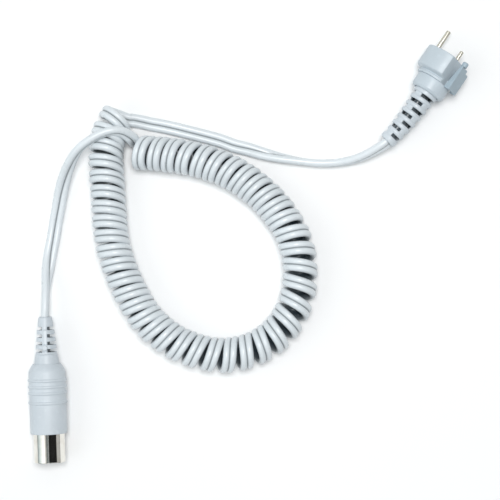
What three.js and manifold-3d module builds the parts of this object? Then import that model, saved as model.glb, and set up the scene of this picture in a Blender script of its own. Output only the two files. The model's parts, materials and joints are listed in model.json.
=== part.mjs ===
// A coiled cord set: a curly twin-core flex with a round three-pin plug on one end and a keyed
// two-pin plug with a sprung latch lever on the other, lying on a table as one teardrop loop.
// Millimetres, +Z up. The table is z = 0 and the origin is under the middle of the whole set.

import * as THREE from 'three';
import { mergeVertices } from 'three/addons/utils/BufferGeometryUtils.js';
import Module from 'manifold-3d';

const wasm = await Module();
wasm.setup();

// ---------------------------------------------------------------- driving dimensions

const GAP = 0.3; // left between pieces that touch
const ROUND = 24; // facets round a turned piece
const SMALL_ROUND = 12; // facets round a pin or a core
const FAR = 30; // reach of a cutter that runs right out of a piece
const CENTRING = 0.55; // moves the whole set along x so that its outer box is centred

// flat twin flex: two insulated cores side by side
const FLEX = { width: 5.8, thickness: 3.1, corePitch: 2.7, coreRadius: 0.8, waist: 0.25 };
const CURLY_DIAMETER = 15;

// round plug, along its own axis from the boot's cord end to the shell's mouth
const ROUND_PLUG = {
  at: [-86.3, -29.7],
  heading: -88.1,
  length: 61.8,
  ribRadius: 8.25,
  bodyRadius: 7.8,
  sleeveStart: 20,
  sleeveEnd: 49.6,
  shellRadius: 6.6,
  shellWall: 0.5,
  shellStart: 36,
  insulatorStart: 49.4,
  insulatorEnd: 52.6,
  keyTurn: 22,
};
const RIB_STATIONS = [26.9, 29.6, 32.3, 36.4];
const SLEEVE = { lip: 5.65, lipDepth: 4, chamfer: 5.95, coneRadius: 7.5, coneLength: 2.5, edge: 1.3 };
const KEY = { mouth: 5.8, floor: 3.4, depth: 1.3 };
const PIN = { circle: 7, radius: 0.725, tail: 0.58, start: 47, shoulder: 49, tip: 60.3, taper: 0.9 };
const PIN_TURNS = [90, 180, 270];

// slotted strain relief of the round plug, taller than it is wide to suit the flex on edge
const STRAIN_RELIEF = {
  tall: 1.24,
  slots: [4.25, 7.4, 10.5, 13.6],
  slotWidth: 1.4,
  bridge: 2.1,
  flangeRadius: 6.6,
  flangeStart: 24.3,
  flangeEnd: 26,
};
const MOULD_DOT = { radius: 1.15, y: 13.2, low: 4.6, high: 5.6 };
const HALF_SCREEN = { inner: 5.1, outer: 5.55, start: 28.5, end: 46.5, keyStart: 30, keyDepth: 3.9 };
const CORD_CLAMP = { halfWidth: 2.3, halfHeight: 3.7, start: 26.4, end: 28.2 };
const CORE_FACETS = 8;

// two-pin plug, along its own axis from the collar's cord side to the pin tips
const TWO_PIN = {
  at: [75.25, 65.05],
  heading: 56,
  roll: 33,
  headRadius: 10.3,
  ringRadius: 8.4,
  collarRadius: 7.45,
  collarEnd: 5.7,
  headStart: 6,
  headShoulder: 8.5,
  headEnd: 17.8,
  flat: 6.2,
  cornerFlat: 7.6,
};
const LONG_PIN = { across: -7.6, radius: 1.05, tip: 27.75 };
const SHORT_PIN = { across: 3.4, radius: 0.9, tip: 22.7 };
const CONTACT_TAIL = { radius: 0.7, start: 9.8, end: 12.4 };
const CRIMP = { inner: 1, outer: 1.35, start: 9.9, end: 12 };
const CORD_GRIP = { halfWidth: 2.3, halfHeight: 3.7, start: 3.6, end: 4.8 };
const WIRING_POCKET = { halfHeight: 2.2, halfWidth: 7.4, across: -2.2, start: 9.2, end: 14.2 };
const REAR_HOLLOW = { radius: 5, end: 9.4 };

// latch lever, in the two-pin plug's rolled frame: x across, y forward, z along its pivot
const LATCH = {
  outer: 9.9,
  rearInner: 7.2,
  frontInner: 8.7,
  rear: 5.4,
  front: 16.8,
  step: 15.4,
  top: 3.2,
  stepHeight: -1.9,
  bottom: -4.5,
  pivotX: 7.9,
  pivotY: 7.6,
  pivotRadius: 0.7,
  pivotTop: 2.4,
  pocketSkin: 9.5,
};
const NUB = { across: 9.1, up: 1.5, radius: 1.3, tipRadius: 0.9, shoulder: 18.5, tip: 19 };
const TONGUE = { halfWidth: 1.3, reach: 9.2, start: 6.4, end: 8.8 };
const SPRING = {
  top: -1.6,
  bottom: -3.1,
  inner: 1.0,
  outer: 1.3,
  wire: 0.4,
  headLegEnd: 12.4,
  legEnd: 9.8,
};

// bent strain relief of the two-pin plug
const BOOT = {
  length: 27,
  bore: 3.3,
  neckRadius: 5.3,
  endRadius: 3.65,
  firstSlot: 2.4,
  slotPitch: 3.5,
  slotCount: 7,
  slotWidth: 1.45,
  bridge: 3.2,
  bridgeTurns: [40, -42],
  notch: 0.25,
};
const BOOT_AXIS = new THREE.QuadraticBezierCurve3(
  new THREE.Vector3(0, 0, 0),
  new THREE.Vector3(0, -16.4, 0),
  new THREE.Vector3(-2.35, -26.2, -0.9),
);

// routes over the table, as hand-placed points
const CURLY_ROUTE = [
  [-47.0, 40.1], [-39.4, 39.4], [-31.8, 38.6], [-24.2, 37.3], [-17.0, 35.4], [-10.6, 33.0],
  [-5.0, 30.1], [0.2, 26.7], [5.3, 22.7], [9.8, 18.2], [13.7, 13.4], [17.1, 8.2], [19.7, 2.4],
  [21.4, -3.8], [22.0, -10.4], [21.6, -17.0], [20.2, -23.3], [17.7, -29.1], [14.2, -34.4],
  [9.6, -39.0], [4.0, -42.6], [-2.4, -45.0], [-9.2, -46.1], [-16.2, -45.7], [-23.0, -44.0],
  [-29.5, -41.4], [-35.4, -37.8], [-40.6, -33.4], [-44.9, -28.2], [-48.6, -22.2], [-51.8, -15.8],
  [-54.6, -9.2], [-56.8, -2.4], [-58.2, 4.6], [-59.0, 11.8], [-59.4, 19.1], [-59.9, 26.4],
  [-60.5, 33.6], [-60.8, 40.5], [-60.3, 46.3], [-58.3, 51.0], [-55.2, 53.8], [-53.0, 54.4],
];
const ROUND_LEAD_ROUTE = [
  [-86.4, -29.4, 8.0], [-86.2, -24.7, 8.0], [-86.2, -18.5, 6.5], [-85.8, -10.9, 3.8],
  [-84.9, -3.6, 2.1], [-83.6, 3.4, 1.7], [-82.5, 10.1, 1.8], [-81.2, 16.7, 2.8],
  [-79.8, 23.4, 4.9], [-77.8, 29.8, 8.2], [-75.2, 35.4, 12.0], [-72.4, 39.6, 14.9],
  [-69.6, 42.4, 16.5], [-66.7, 44.5, 17.2], [-63.7, 46.3, 17.3], [-60.6, 47.6, 17.3],
  [-57.6, 48.3, 17.2], [-54.8, 48.4, 16.4], [-52.5, 47.9, 15.0], [-50.8, 47.0, 13.4],
  [-49.2, 46.3, 12.3], [-47.5, 46.0, 11.9],
];
const TWO_PIN_LEAD_ROUTE = [
  [-52.0, 55.1, 2.4], [-49.0, 54.6, 2.4], [-45.5, 53.7, 1.8], [-41.5, 52.5, 1.7],
  [-37.0, 51.6, 1.7], [-31.5, 50.4, 1.7], [-25.5, 48.9, 1.7], [-19.5, 47.4, 1.7],
  [-12.5, 45.5, 1.7], [-6.1, 43.2, 1.7], [0.2, 41.6, 1.7], [6.2, 39.8, 2.0], [13.8, 38.0, 2.6],
  [21.5, 36.6, 2.9], [29.1, 35.7, 3.1], [36.7, 35.7, 3.7], [43.4, 36.7, 5.0], [48.3, 38.2, 6.6],
  [52.6, 40.2, 8.1], [56.1, 42.2, 9.1], [58.5, 43.8, 9.4],
];

const COLOURS = {
  flex: [0xd3dbe0, 0.3, 0],
  plugPlastic: [0xc3ced6, 0.45, 0],
  headPlastic: [0xb4c2cc, 0.45, 0],
  insulator: [0x2b2d31, 0.5, 0],
  metal: [0xd8d6cc, 0.25, 0.9],
  copper: [0xb87333, 0.4, 0.8],
  coreRed: [0xa83a32, 0.5, 0],
  coreWhite: [0xe6e4de, 0.5, 0],
};

// ---------------------------------------------------------------- small helpers

const radians = THREE.MathUtils.degToRad;

function toSolid(geometry) {
  const bare = geometry.clone();
  bare.deleteAttribute('normal');
  bare.deleteAttribute('uv');
  const merged = mergeVertices(bare, 1e-4);
  return new wasm.Manifold(new wasm.Mesh({
    numProp: 3,
    vertProperties: new Float32Array(merged.attributes.position.array),
    triVerts: new Uint32Array(merged.index.array),
  }));
}

function toGeometry(solid) {
  const mesh = solid.getMesh();
  const geometry = new THREE.BufferGeometry();
  geometry.setAttribute('position', new THREE.BufferAttribute(mesh.vertProperties, 3));
  geometry.setIndex(new THREE.BufferAttribute(mesh.triVerts, 1));
  geometry.computeVertexNormals();
  return geometry;
}

// material of `base` with every geometry in `cutters` taken out
function cut(base, cutters) {
  return toGeometry(cutters.reduce((left, tool) => left.subtract(toSolid(tool)), toSolid(base)));
}

function join(parts) {
  return toGeometry(parts.slice(1).reduce((all, part) => all.add(toSolid(part)), toSolid(parts[0])));
}

// a turned piece about the Y axis from [radius, y] pairs, closed on the axis or on itself
function turned(profile, facets = ROUND) {
  return new THREE.LatheGeometry(profile.map(([r, y]) => new THREE.Vector2(r, y)), facets);
}

// a turned ring: the profile goes once round its own section
function turnedRing(profile, facets = ROUND) {
  return turned([...profile, profile[0]], facets);
}

function rod(radius, start, end, facets = SMALL_ROUND) {
  return turned([[0, start], [radius, start], [radius, end], [0, end]], facets);
}

function tube(inner, outer, start, end, facets = ROUND) {
  return turnedRing([[inner, start], [outer, start], [outer, end], [inner, end]], facets);
}

// a flat outline in x and z, run along y from start to end
function prism(outline, start, end, steps = 1) {
  const geometry = new THREE.ExtrudeGeometry(outline, {
    depth: end - start, steps, bevelEnabled: false, curveSegments: 6,
  });
  return geometry.rotateX(Math.PI / 2).translate(0, end, 0);
}

function box([x0, y0, z0], [x1, y1, z1]) {
  const geometry = new THREE.BoxGeometry(x1 - x0, y1 - y0, z1 - z0);
  return geometry.translate((x0 + x1) / 2, (y0 + y1) / 2, (z0 + z1) / 2);
}

function polygon(points) {
  return new THREE.Shape(points.map(([x, y]) => new THREE.Vector2(x, y)));
}

function circle(x, y, radius, facets = SMALL_ROUND) {
  const points = [];
  for (let i = 0; i < facets; i += 1) {
    const turn = (i / facets) * Math.PI * 2;
    points.push([x + radius * Math.cos(turn), y + radius * Math.sin(turn)]);
  }
  return polygon(points);
}

// outline of the twin flex with its wide way up
function flexOutline() {
  const lobe = FLEX.thickness / 2;
  const centre = FLEX.corePitch / 2;
  const waist = Math.acos((centre - FLEX.waist) / lobe);
  const first = waist - Math.PI / 2;
  const steps = 6;
  const points = [];
  for (const side of [1, -1]) {
    for (let i = 0; i <= steps; i += 1) {
      const turn = first + ((Math.PI - 2 * first) * i) / steps;
      points.push([side * lobe * Math.cos(turn), side * (centre + lobe * Math.sin(turn))]);
    }
  }
  return polygon(points);
}

// room for the flex to pass on edge
function flexRoom() {
  return slotOutline(FLEX.thickness / 2 + GAP, FLEX.width / 2 + GAP);
}

// a round-ended slot outline, longer along y
function slotOutline(halfWidth, halfHeight) {
  const shape = new THREE.Shape();
  const straight = halfHeight - halfWidth;
  shape.absarc(0, straight, halfWidth, 0, Math.PI);
  shape.absarc(0, -straight, halfWidth, Math.PI, Math.PI * 2);
  return shape;
}

function alongPath(points, outline, steps) {
  const path = new THREE.CatmullRomCurve3(points.map((p) => new THREE.Vector3(...p)));
  return new THREE.ExtrudeGeometry(outline, { steps, extrudePath: path, curveSegments: 2 });
}

function flatFlexSection() {
  const [w, t] = [FLEX.width / 2, FLEX.thickness / 2];
  const corner = t * 0.6;
  return polygon([
    [t, corner - w], [t, w - corner], [t - corner, w], [corner - t, w],
    [-t, w - corner], [-t, corner - w], [corner - t, -w], [t - corner, -w],
  ]);
}

// cutters that leave two bridges of a given width, one up and one down, turned by `roll`
function slotCutters(start, end, bridge, roll) {
  return [-1, 1].map((side) => {
    const near = (side * bridge) / 2;
    const cutter = box(
      [Math.min(near, side * FAR), start, -FAR],
      [Math.max(near, side * FAR), end, FAR],
    );
    return cutter.rotateY(-radians(roll));
  });
}

function piece(group, name, geometry, [colour, roughness, metalness]) {
  const material = new THREE.MeshStandardMaterial({ color: colour, roughness, metalness });
  const mesh = new THREE.Mesh(geometry, material);
  mesh.name = name;
  group.add(mesh);
  return mesh;
}

// a plug's own frame: +Y along its axis towards what it plugs into, +Z up
function plugGroup([x, y], height, heading) {
  const group = new THREE.Group();
  group.position.set(x, y, height);
  group.rotation.z = radians(heading - 90);
  return group;
}

// ---------------------------------------------------------------- round plug

// direction of a point on the pin circle, measured from the key
function pinPlace(turn) {
  const angle = radians(90 + ROUND_PLUG.keyTurn + turn);
  const reach = PIN.circle / 2;
  return [reach * Math.cos(angle), reach * Math.sin(angle)];
}

// a circle with the key channel pressed into it, `inset` inside the shell's outside
function keyedCircle(inset) {
  const radius = ROUND_PLUG.shellRadius - inset;
  const halfMouth = Math.asin((KEY.mouth / 2 + inset * 0.4) / radius);
  const points = [];
  for (let i = 0; i <= ROUND; i += 1) {
    const turn = halfMouth + ((2 * Math.PI - 2 * halfMouth) * i) / ROUND;
    points.push([-radius * Math.sin(turn), radius * Math.cos(turn)]);
  }
  const floor = ROUND_PLUG.shellRadius - KEY.depth - inset;
  const halfFloor = KEY.floor / 2 + inset * 0.4;
  points.push([halfFloor, floor], [-halfFloor, floor]);
  const turned2d = points.map(([x, y]) => {
    const turn = radians(ROUND_PLUG.keyTurn);
    return [x * Math.cos(turn) - y * Math.sin(turn), x * Math.sin(turn) + y * Math.cos(turn)];
  });
  return polygon(turned2d);
}

function roundPlugShell() {
  const outline = keyedCircle(0);
  outline.holes.push(keyedCircle(ROUND_PLUG.shellWall));
  return prism(outline, ROUND_PLUG.shellStart, ROUND_PLUG.length);
}

function roundPlugInsulator() {
  const outline = keyedCircle(ROUND_PLUG.shellWall + GAP);
  for (const turn of PIN_TURNS) {
    outline.holes.push(circle(...pinPlace(turn), PIN.radius + GAP));
  }
  return prism(outline, ROUND_PLUG.insulatorStart, ROUND_PLUG.insulatorEnd);
}

function roundPlugPin(turn) {
  const { radius, tail, start, shoulder, tip, taper } = PIN;
  const [x, z] = pinPlace(turn);
  const profile = [
    [0, start], [tail, start], [tail, shoulder], [radius, shoulder + (radius - tail)],
    [radius, tip - taper], [tail, tip - taper / 3], [0, tip],
  ];
  return turned(profile, SMALL_ROUND).translate(x, 0, z);
}

// the ribbed grip, with a lip at its cord end that traps the strain relief's flange
function roundPlugSleeve() {
  const { bodyRadius: body, ribRadius: rib, sleeveStart, sleeveEnd } = ROUND_PLUG;
  const { lip, lipDepth, chamfer, coneRadius, coneLength, edge } = SLEEVE;
  const bore = ROUND_PLUG.shellRadius + GAP;
  const lipEnd = sleeveStart + lipDepth;
  const profile = [[lip, sleeveStart], [chamfer, sleeveStart], [coneRadius, sleeveStart + coneLength]];
  profile.push([body, sleeveStart + coneLength + body - coneRadius]);
  for (const y of RIB_STATIONS) {
    profile.push([body, y - 0.6], [rib, y - 0.2], [rib, y + 0.2], [body, y + 0.6]);
  }
  profile.push([body, sleeveEnd - edge], [body - edge / 4, sleeveEnd - edge / 3]);
  profile.push([body - edge * 0.6, sleeveEnd], [bore, sleeveEnd], [bore, lipEnd], [lip, lipEnd]);
  return turnedRing(profile);
}

// a slotted strain relief whose inner flange is trapped behind the sleeve's lip
function roundPlugBoot() {
  const { tall, slots, slotWidth, bridge, flangeRadius, flangeStart, flangeEnd } = STRAIN_RELIEF;
  const tail = turned([
    [0, 0], [2.2, 0], [2.85, 0.7], [3.3, 4.25], [3.3, 5.1], [3.6, 5.5], [4.35, 14.2],
    [4.35, 16], [0, 16],
  ]).scale(1, 1, tall);
  const base = turned([
    [0, 14.6], [4.1, 14.6], [4.55, 15.3], [5.35, 20], [5.35, flangeStart],
    [flangeRadius, flangeStart], [flangeRadius, flangeEnd], [0, flangeEnd],
  ]);
  const dot = rod(MOULD_DOT.radius, MOULD_DOT.low, MOULD_DOT.high).rotateX(Math.PI / 2);
  const cutters = [prism(flexRoom(), -1, flangeEnd + 1)];
  for (const start of slots) {
    cutters.push(...slotCutters(start, start + slotWidth, bridge, 0));
  }
  return cut(join([tail, base, dot.translate(0, MOULD_DOT.y, 0)]), cutters);
}

// half of the screen tube round the cores, above (side 1) or below (side -1); the upper one is
// cut away under the shell's key channel
function halfScreen(side) {
  const { inner, outer, start, end, keyStart, keyDepth } = HALF_SCREEN;
  const lift = GAP / 2;
  const steps = 8;
  const arc = (radius) => {
    const points = [];
    for (let i = 0; i <= steps; i += 1) {
      const turn = (Math.PI * i) / steps;
      points.push([radius * Math.cos(turn), side * (lift + radius * Math.sin(turn))]);
    }
    return points;
  };
  const half = prism(polygon([...arc(outer), ...arc(inner).reverse()]), start, end);
  const key = box([-FAR, keyStart, keyDepth], [FAR, end + 1, FAR]);
  return side > 0 ? cut(half, [key.rotateY(-radians(ROUND_PLUG.keyTurn))]) : half;
}

// a pressed loop that grips the flex on edge
function flexLoop({ halfWidth, halfHeight, start, end }) {
  const outline = slotOutline(halfWidth, halfHeight);
  outline.holes.push(flexRoom());
  return prism(outline, start, end);
}

function buildRoundPlug(object) {
  const plug = plugGroup(ROUND_PLUG.at, ROUND_PLUG.ribRadius, ROUND_PLUG.heading);
  object.add(plug);
  piece(plug, 'round_plug_boot', roundPlugBoot(), COLOURS.plugPlastic);
  piece(plug, 'round_plug_sleeve', roundPlugSleeve(), COLOURS.plugPlastic);
  piece(plug, 'round_plug_shell', roundPlugShell(), COLOURS.metal);
  piece(plug, 'round_plug_insulator', roundPlugInsulator(), COLOURS.insulator);
  PIN_TURNS.forEach((turn, i) => {
    piece(plug, `round_plug_pin_${i + 1}`, roundPlugPin(turn), COLOURS.metal);
  });
  piece(plug, 'round_plug_half_screen_top', halfScreen(1), COLOURS.metal);
  piece(plug, 'round_plug_half_screen_bottom', halfScreen(-1), COLOURS.metal);
  piece(plug, 'round_plug_flex_tail', prism(flexOutline(), 0.2, 30), COLOURS.flex);
  piece(plug, 'round_plug_cord_clamp', flexLoop(CORD_CLAMP), COLOURS.metal);
  [[270, 1, 'coreRed'], [90, -1, 'coreWhite']].forEach(([turn, side, colour], i) => {
    const [x, z] = pinPlace(turn);
    const start = (side * FLEX.corePitch) / 2;
    const path = [
      [0, 30.3, start], [0, 34, start], [x * 0.6, 40, (start + z) / 2], [x, 44.5, z], [x, 46.6, z],
    ];
    const core = alongPath(path, circle(0, 0, FLEX.coreRadius, CORE_FACETS), 8);
    piece(plug, `round_plug_core_${i + 1}`, core, COLOURS[colour]);
  });
}

// ---------------------------------------------------------------- two-pin plug

// a round head with one flat, hollow from behind, and a tongue that carries the latch pivot
function twoPinHead() {
  const { headRadius, ringRadius, headStart, headShoulder, headEnd, flat, cornerFlat } = TWO_PIN;
  const body = turned([
    [0, headStart], [ringRadius - 0.3, headStart], [ringRadius, headStart + 0.3],
    [ringRadius, 7.0], [ringRadius - 0.6, 7.4], [headRadius - 0.5, headShoulder],
    [headRadius, headShoulder + 0.5], [headRadius, headEnd - 0.4], [headRadius - 0.4, headEnd],
    [0, headEnd],
  ]);
  const cornerTrim = box([cornerFlat, headStart - 1, -FAR], [FAR, headEnd + 1, FAR]);
  const trimmed = cut(body, [
    box([flat, headStart - 1, -FAR], [FAR, headEnd + 1, FAR]),
    cornerTrim.rotateY(radians(TWO_PIN.roll)),
  ]);
  const { halfWidth, reach, start, end } = TONGUE;
  const tongue = box([flat - 1, start, -halfWidth], [reach, end, halfWidth]);
  const room = WIRING_POCKET;
  const pocket = prism(slotOutline(room.halfHeight, room.halfWidth), room.start, room.end);
  const cutters = [
    rod(REAR_HOLLOW.radius, headStart - 1, REAR_HOLLOW.end, ROUND),
    pocket.rotateY(Math.PI / 2).translate(room.across, 0, 0),
    pivotRod(LATCH.pivotRadius + GAP),
  ];
  for (const pin of [LONG_PIN, SHORT_PIN]) {
    cutters.push(rod(pin.radius + GAP, room.end - 0.2, headEnd + 1).translate(pin.across, 0, 0));
  }
  return cut(join([trimmed, tongue]), cutters);
}

// a rod on the latch pivot, from the lever's lower face up to `top`
function pivotRod(radius, top = LATCH.pivotTop, bottom = LATCH.bottom - 1) {
  const geometry = rod(radius, bottom, top, SMALL_ROUND).rotateX(Math.PI / 2);
  return geometry.translate(LATCH.pivotX, LATCH.pivotY, 0);
}

function latchLever() {
  const { outer, rearInner, frontInner, rear, front, step, top, stepHeight, bottom } = LATCH;
  const plan = (end) => polygon([
    [rearInner, rear], [outer, rear], [outer, end - 0.4], [outer - 0.4, end], [frontInner, end],
  ]);
  const slab = (end, low, high) => new THREE.ExtrudeGeometry(
    plan(end),
    { depth: high - low, bevelEnabled: false },
  ).translate(0, 0, low);
  const body = join([slab(front, stepHeight, top), slab(step, bottom, stepHeight + 0.01)]);
  const collarRoom = rod(TWO_PIN.collarRadius + 0.5, 0, TWO_PIN.headStart + GAP, ROUND);
  const tongueRoom = TONGUE.halfWidth + 0.4;
  const slot = box([0, 0, -tongueRoom], [LATCH.pocketSkin, TONGUE.end + 0.6, tongueRoom]);
  const springRoom = box([0, 0, SPRING.bottom - GAP], [LATCH.pocketSkin, SPRING.legEnd + 0.6, -1]);
  const pivotHole = pivotRod(LATCH.pivotRadius + GAP, LATCH.pivotTop + GAP);
  return cut(body, [collarRoom, slot, springRoom, pivotHole]);
}

// a torsion spring round the pivot: two turns' outline and a leg along each side of the gap
function latchSpring() {
  const { top, bottom, inner, outer, wire } = SPRING;
  const ring = tube(inner, outer, bottom, top, SMALL_ROUND).rotateX(Math.PI / 2);
  ring.translate(LATCH.pivotX, LATCH.pivotY, 0);
  const middle = (top + bottom) / 2;
  const leg = (x, end) => box(
    [x, LATCH.pivotY, middle - wire / 2],
    [x + wire, end, middle + wire / 2],
  );
  const headLeg = leg(LATCH.pivotX - outer, SPRING.headLegEnd);
  const leverLeg = leg(LATCH.pivotX + outer - wire - GAP, SPRING.legEnd);
  return cut(join([ring, headLeg, leverLeg]), [pivotRod(inner, top + 1, bottom - 1)]);
}

function latchNub() {
  const { across, up, radius, tipRadius, shoulder, tip } = NUB;
  const start = LATCH.front + GAP;
  const profile = [[0, start], [radius, start], [radius, shoulder], [tipRadius, tip], [0, tip]];
  return turned(profile, SMALL_ROUND).translate(across, 0, up);
}

function contactPin({ across, radius, tip }) {
  const { radius: tail, start, end } = CONTACT_TAIL;
  const profile = [
    [0, start], [tail, start], [tail, end], [radius, end + 0.2], [radius, tip - radius],
    [radius * 0.85, tip - radius * 0.5], [radius * 0.5, tip - radius * 0.13], [0, tip],
  ];
  return turned(profile, SMALL_ROUND).translate(across, 0, 0);
}

function twoPinCollar() {
  const { collarRadius: outer, collarEnd } = TWO_PIN;
  return turnedRing([
    [5.6, 0], [outer - 0.8, 0], [outer - 0.2, 0.35], [outer, 1], [outer, 4.9],
    [outer - 0.5, collarEnd], [5.2, collarEnd], [5.2, 3.6], [6.4, 3.6], [6.4, 1.6], [5.6, 1.6],
  ]);
}

// moves a piece made along the straight axis y < 0 onto the boot's bent axis
function bendToBoot(geometry) {
  const place = geometry.attributes.position;
  const up = new THREE.Vector3(0, 0, 1);
  for (let i = 0; i < place.count; i += 1) {
    const back = -place.getY(i);
    if (back > 0) {
      const share = Math.min(back / BOOT.length, 1);
      const tangent = BOOT_AXIS.getTangentAt(share);
      const side = new THREE.Vector3().crossVectors(up, tangent).normalize();
      const rise = new THREE.Vector3().crossVectors(tangent, side);
      const point = BOOT_AXIS.getPointAt(share)
        .addScaledVector(side, place.getX(i))
        .addScaledVector(rise, place.getZ(i))
        .addScaledVector(tangent, Math.max(back - BOOT.length, 0));
      place.setXYZ(i, point.x, point.y, point.z);
    }
  }
  return geometry;
}

function bootRadius(back) {
  const share = Math.max(back - 4, 0) / (BOOT.length - 4);
  return 5.1 - (5.1 - BOOT.endRadius) * share ** 1.15;
}

function twoPinBoot() {
  const profile = [[0, -BOOT.length], [BOOT.endRadius - 0.8, -BOOT.length]];
  profile.push([BOOT.endRadius, 0.8 - BOOT.length]);
  const cutters = [rod(BOOT.bore, -FAR, FAR, ROUND)];
  for (let i = BOOT.slotCount - 1; i >= 0; i -= 1) {
    const slot = BOOT.firstSlot + BOOT.slotPitch * i;
    const [near, far] = [slot - BOOT.slotWidth / 2, slot + BOOT.slotWidth / 2];
    const low = bootRadius(slot) - BOOT.notch;
    const ringRadius = i === 0 ? BOOT.neckRadius : bootRadius(near - 0.5);
    if (i < BOOT.slotCount - 1) profile.push([bootRadius(far + 0.5), -far - 0.5]);
    profile.push([low, -far], [low, -near], [ringRadius, -near + 0.4]);
    cutters.push(...slotCutters(-far, -near, BOOT.bridge, BOOT.bridgeTurns[i % 2]));
  }
  profile.push([BOOT.neckRadius, 1.9], [6.1, 1.9], [6.1, 3.3], [0, 3.3]);
  return bendToBoot(cut(turned(profile), cutters));
}

function buildTwoPinPlug(object) {
  const plug = plugGroup(TWO_PIN.at, TWO_PIN.headRadius, TWO_PIN.heading);
  const rolled = new THREE.Group();
  rolled.rotation.y = -radians(TWO_PIN.roll);
  plug.add(rolled);
  object.add(plug);
  piece(plug, 'two_pin_collar', twoPinCollar(), COLOURS.headPlastic);
  piece(plug, 'two_pin_boot', twoPinBoot(), COLOURS.plugPlastic);
  piece(rolled, 'two_pin_head', twoPinHead(), COLOURS.headPlastic);
  piece(rolled, 'two_pin_contact_long', contactPin(LONG_PIN), COLOURS.metal);
  piece(rolled, 'two_pin_contact_short', contactPin(SHORT_PIN), COLOURS.metal);
  piece(rolled, 'latch_lever', latchLever(), COLOURS.headPlastic);
  piece(rolled, 'latch_nub', latchNub(), COLOURS.headPlastic);
  piece(rolled, 'latch_pivot_pin', pivotRod(LATCH.pivotRadius, 2.4, -4.3), COLOURS.metal);
  piece(rolled, 'latch_spring', latchSpring(), COLOURS.metal);

  const tail = prism(flexOutline(), 0.2 - BOOT.length, 3.2, 12).rotateY(-radians(TWO_PIN.roll));
  piece(plug, 'two_pin_flex_tail', bendToBoot(tail), COLOURS.flex);
  piece(rolled, 'two_pin_cord_grip', flexLoop(CORD_GRIP), COLOURS.metal);
  [[LONG_PIN, 1, 'coreRed'], [SHORT_PIN, -1, 'coreWhite']].forEach(([pin, side, colour], i) => {
    const start = (side * FLEX.corePitch) / 2;
    const path = [
      [0, 3.5, start], [pin.across * 0.1, 5, start], [pin.across * 0.5, 7.2, start * 0.7],
      [pin.across * 0.55, 8.6, start * 0.3],
    ];
    const core = alongPath(path, circle(0, 0, FLEX.coreRadius, CORE_FACETS), 6);
    piece(rolled, `two_pin_core_${i + 1}`, core, COLOURS[colour]);
    const crimp = tube(CRIMP.inner, CRIMP.outer, CRIMP.start, CRIMP.end, SMALL_ROUND);
    piece(rolled, `two_pin_crimp_${i + 1}`, crimp.translate(pin.across, 0, 0), COLOURS.copper);
  });
}

// ---------------------------------------------------------------- cord

function buildCord(object) {
  const curly = alongPath(
    CURLY_ROUTE.map(([x, y]) => [x, y, CURLY_DIAMETER / 2]),
    circle(0, 0, CURLY_DIAMETER / 2, SMALL_ROUND),
    36,
  );
  piece(object, 'curly_cord', curly, COLOURS.flex);
  const roundLead = alongPath(ROUND_LEAD_ROUTE, flatFlexSection(), 20);
  piece(object, 'lead_to_round_plug', roundLead, COLOURS.flex);
  const twoPinLead = alongPath(TWO_PIN_LEAD_ROUTE, flatFlexSection(), 22);
  piece(object, 'lead_to_two_pin_plug', twoPinLead, COLOURS.flex);
}

const cordSet = new THREE.Group();
cordSet.position.x = CENTRING;
buildRoundPlug(cordSet);
buildTwoPinPlug(cordSet);
buildCord(cordSet);

export default cordSet;
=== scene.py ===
# A coiled dental cord set lying on a pale table, seen from straight above.
# Lengths are millimetres in each piece's own frame until it is placed, which scales it to metres.
import json
import math

import bmesh
import bpy
import numpy as np
from mathutils import Matrix, Vector


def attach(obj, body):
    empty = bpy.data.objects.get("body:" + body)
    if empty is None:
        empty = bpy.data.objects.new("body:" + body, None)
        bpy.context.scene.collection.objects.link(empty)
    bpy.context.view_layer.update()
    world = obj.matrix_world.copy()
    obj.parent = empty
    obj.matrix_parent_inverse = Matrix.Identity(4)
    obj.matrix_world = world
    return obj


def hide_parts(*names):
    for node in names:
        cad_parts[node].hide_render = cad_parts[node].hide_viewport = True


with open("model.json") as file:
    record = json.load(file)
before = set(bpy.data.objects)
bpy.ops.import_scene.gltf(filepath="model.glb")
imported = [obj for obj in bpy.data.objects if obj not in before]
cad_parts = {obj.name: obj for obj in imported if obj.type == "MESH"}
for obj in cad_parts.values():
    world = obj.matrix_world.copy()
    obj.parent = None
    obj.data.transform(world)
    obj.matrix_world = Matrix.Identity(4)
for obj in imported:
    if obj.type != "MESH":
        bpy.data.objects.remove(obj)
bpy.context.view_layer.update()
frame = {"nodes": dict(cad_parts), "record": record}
record = frame["record"]
ROOT, LATCH_BODY = "cord_set", "latch"
MM = 0.001
UP = np.array([0.0, 0.0, 1.0])

# ------------------------ camera

CAMERA_HEIGHT = 700 * MM
CAMERA_LENS = 117.3
CAMERA_OVER = (1.22 * MM, -1.47 * MM)


def make_camera():
    data = bpy.data.cameras.new("camera")
    data.lens = CAMERA_LENS
    data.sensor_width = 36
    data.clip_start, data.clip_end = 0.05, 20
    camera = bpy.data.objects.new("camera", data)
    camera.location = (*CAMERA_OVER, CAMERA_HEIGHT)
    bpy.context.scene.collection.objects.link(camera)
    bpy.context.scene.camera = camera


# ------------------------ lines


def unit(vectors):
    return vectors / np.linalg.norm(vectors, axis=-1, keepdims=True)


PER_SPAN = 24


def catmull_rom(points):
    """A smooth line through every point, with every column of the points carried along."""
    p = np.asarray(points, float)
    p = np.vstack([2 * p[0] - p[1], p, 2 * p[-1] - p[-2]])
    t = np.linspace(0, 1, PER_SPAN, endpoint=False)[:, None]
    spans = [
        0.5 * (2 * b + (c - a) * t + (2 * a - 5 * b + 4 * c - d) * t**2 + (3 * b - a - 3 * c + d) * t**3)
        for a, b, c, d in zip(p[:-3], p[1:-2], p[2:-1], p[3:])
    ]
    return np.vstack([*spans, p[-2]])


def lengths_along(line):
    return np.concatenate([[0], np.cumsum(np.linalg.norm(np.diff(line[:, :3], axis=0), axis=1))])


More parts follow.
